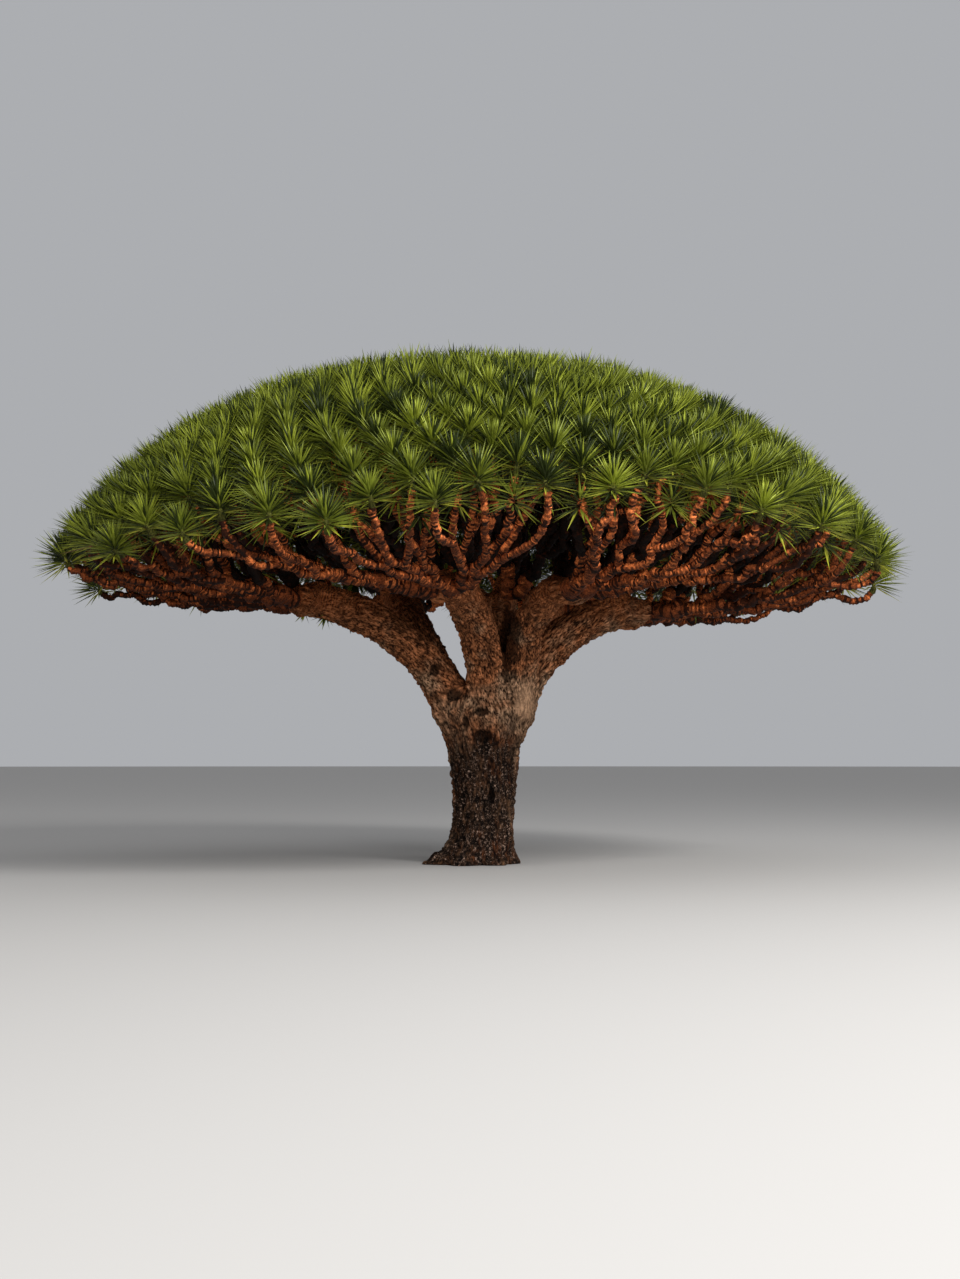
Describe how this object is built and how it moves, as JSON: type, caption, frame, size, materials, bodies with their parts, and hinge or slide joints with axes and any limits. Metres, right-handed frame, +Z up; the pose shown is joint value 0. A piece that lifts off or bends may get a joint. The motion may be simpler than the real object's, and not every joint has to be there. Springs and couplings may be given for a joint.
{
  "type": "dragon blood tree",
  "caption": "Dragon blood tree rooted in level ground, with a bare waisted trunk, spreading boughs that fork upward and a dense umbrella crown of stiff sword-shaped leaves.",
  "frame": {"origin": "on the trunk's flat cut at ground level, where the trunk stands on the ground", "axes": "+Z up the trunk, +X towards the right bough as the picture shows the tree, +Y away from the picture's viewer"},
  "size_m": [13.0371, 13.1049, 7.7844],
  "materials": {
    "trunk_bark": "rough fissured dark bark with pale lichen, redder towards the fork",
    "bough_bark": "matte red-brown ringed bark",
    "foliage": "stiff waxy green leaves"
  },
  "bodies": {
    "root": {"trunk": "trunk_bark", "bough_left": "bough_bark", "bough_front_left": "bough_bark", "bough_right": "bough_bark", "bough_front_right": "bough_bark", "bough_back_right": "bough_bark", "bough_back_left": "bough_bark", "bough_middle": "bough_bark", "limb_01": "bough_bark", "limb_02": "bough_bark", "limb_03": "bough_bark", "limb_04": "bough_bark", "limb_05": "bough_bark", "limb_06": "bough_bark", "limb_07": "bough_bark", "limb_08": "bough_bark", "limb_09": "bough_bark", "limb_10": "bough_bark", "limb_11": "bough_bark", "limb_12": "bough_bark", "limb_13": "bough_bark", "limb_14": "bough_bark", "limb_15": "bough_bark", "limb_16": "bough_bark", "limb_17": "bough_bark", "limb_18": "bough_bark", "limb_19": "bough_bark", "limb_20": "bough_bark", "limb_21": "bough_bark", "foliage_01": "foliage", "foliage_02": "foliage", "foliage_03": "foliage", "foliage_04": "foliage", "foliage_05": "foliage", "foliage_06": "foliage", "foliage_07": "foliage", "foliage_08": "foliage", "foliage_09": "foliage", "foliage_10": "foliage", "foliage_11": "foliage", "foliage_12": "foliage", "foliage_13": "foliage", "foliage_14": "foliage", "foliage_15": "foliage", "foliage_16": "foliage", "foliage_17": "foliage", "foliage_18": "foliage", "foliage_19": "foliage", "foliage_20": "foliage", "foliage_21": "foliage"}
  },
  "joints": []
}
